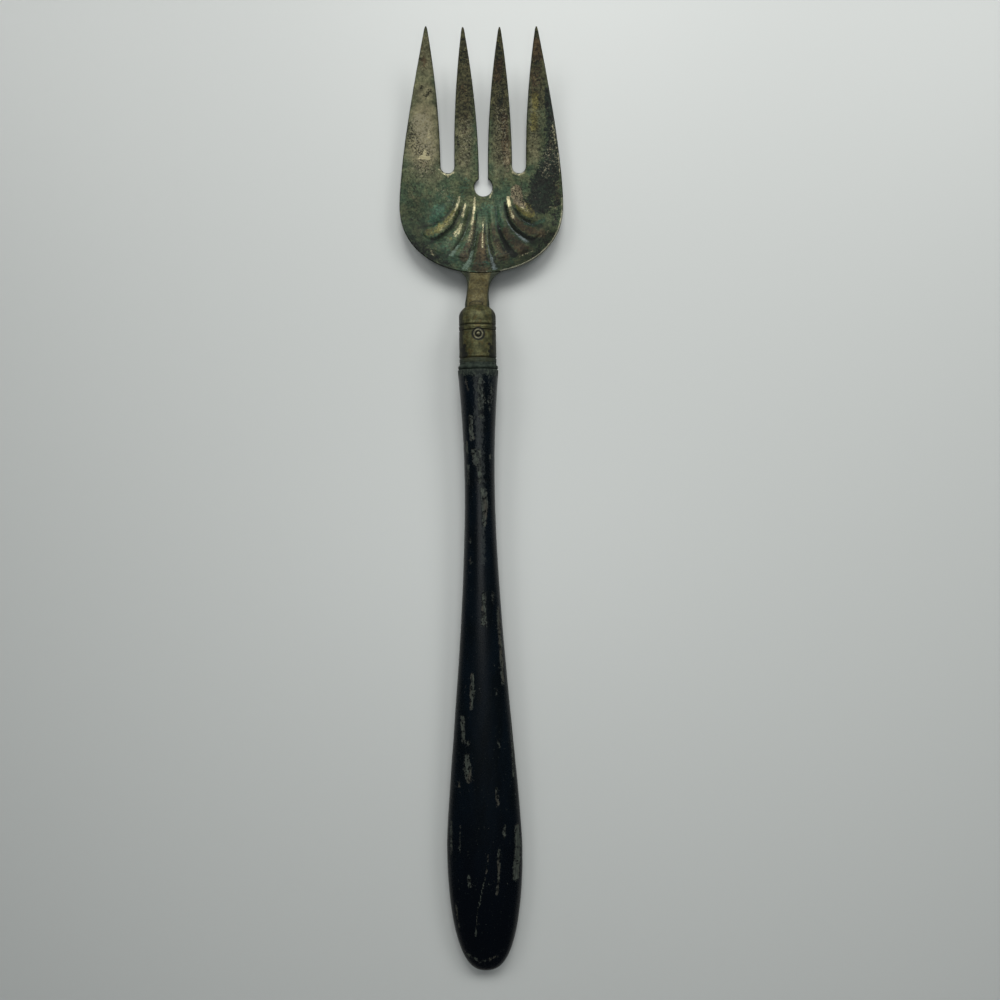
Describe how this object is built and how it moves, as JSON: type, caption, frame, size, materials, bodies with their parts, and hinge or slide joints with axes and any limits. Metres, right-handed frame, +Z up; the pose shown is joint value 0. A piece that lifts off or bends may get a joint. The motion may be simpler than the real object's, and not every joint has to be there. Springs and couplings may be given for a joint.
{
  "type": "salad serving fork",
  "caption": "antique salad serving fork with a tarnished silver-plated head, pressed shell ornament, brass ferrule and ebonised wooden handle",
  "frame": {"origin": "centre of the bounding box in X and Y, on the table that the fork lies on, face up, at z = 0", "axes": "+Y towards the tips of the tines, +X to the right seen from above with the tines up, +Z up off the table"},
  "size_m": [0.049, 0.2798, 0.0163],
  "materials": {
    "silver_plate": "tarnished silver plate, worn to olive and brown",
    "brass_shank": "dull brown brass",
    "brass_ferrule": "worn brass with green at the bead",
    "brass_pin": "worn brass",
    "ebonised_wood": "satin black, chipped"
  },
  "bodies": {
    "root": {"fork_head": "silver_plate", "shank": "brass_shank", "ferrule": "brass_ferrule", "ferrule_pin": "brass_pin", "handle": "ebonised_wood"}
  },
  "joints": []
}
